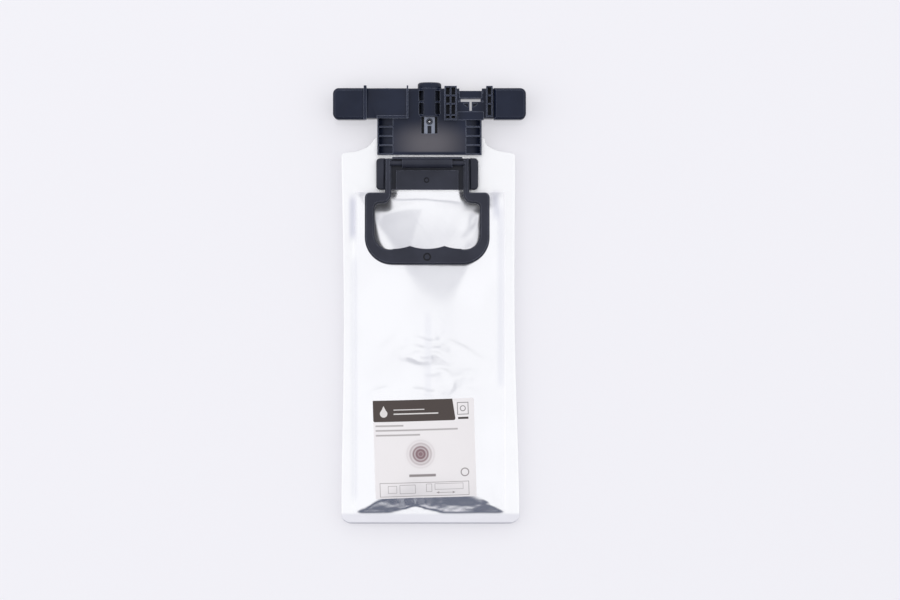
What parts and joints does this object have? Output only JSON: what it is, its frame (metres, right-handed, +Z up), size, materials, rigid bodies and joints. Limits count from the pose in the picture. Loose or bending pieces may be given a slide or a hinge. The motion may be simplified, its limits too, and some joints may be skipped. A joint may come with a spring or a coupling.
{
  "type": "inkjet ink cartridge",
  "caption": "Bag-type ink cartridge: sealed foil pouch hung from a moulded connector head with a sprung outlet valve, a chip and a hinged carry handle.",
  "frame": {"origin": "middle of the footprint, on the surface that the pack lies on", "axes": "+X across the pack from wing to wing, +Y along it towards the outlet, +Z up out of the label side"},
  "size_m": [0.1124, 0.2572, 0.0217],
  "materials": {
    "foil_film": "satin silver barrier film, aluminium foil under clear film",
    "label_paper": "off-white coated paper with dark printed fields",
    "black_plastic": "fine-grained moulded black plastic",
    "handle_plastic": "satin moulded black plastic",
    "spout_plastic": "dark grey moulded polyethylene",
    "valve_plastic": "natural white acetal",
    "seal_rubber": "soft black rubber",
    "spring_steel": "stainless spring wire and ball",
    "board_green": "green solder mask",
    "contact_gold": "gold-plated contact pads",
    "chip_resin": "black moulding resin"
  },
  "bodies": {
    "pack": {"ink_bag": "foil_film", "bag_label": "label_paper", "spout_body": "spout_plastic", "plug_ball": "spring_steel", "outlet_collar": "black_plastic", "outlet_seal": "seal_rubber", "outlet_spring": "spring_steel", "head_cover": "black_plastic", "head_base": "black_plastic", "chip_board": "board_green", "chip_contacts": "contact_gold", "chip_package": "chip_resin", "handle_base": "handle_plastic"},
    "handle": {"carry_handle": "handle_plastic"},
    "valve": {"outlet_poppet": "valve_plastic"}
  },
  "joints": [
    {"name": "handle_hinge", "type": "hinge", "parent": "pack", "child": "handle", "pos_m": [-0.0013, 0.08155, 0.0134], "axis": [-1, 0, 0], "range_deg": [0, 100]},
    {"name": "valve_push", "type": "slide", "parent": "pack", "child": "valve", "axis": [0, -1, 0], "range_m": [0, 0.003], "stiffness_N_per_m": 300, "springref_m": -0.002, "deforming": ["outlet_spring"]}
  ]
}
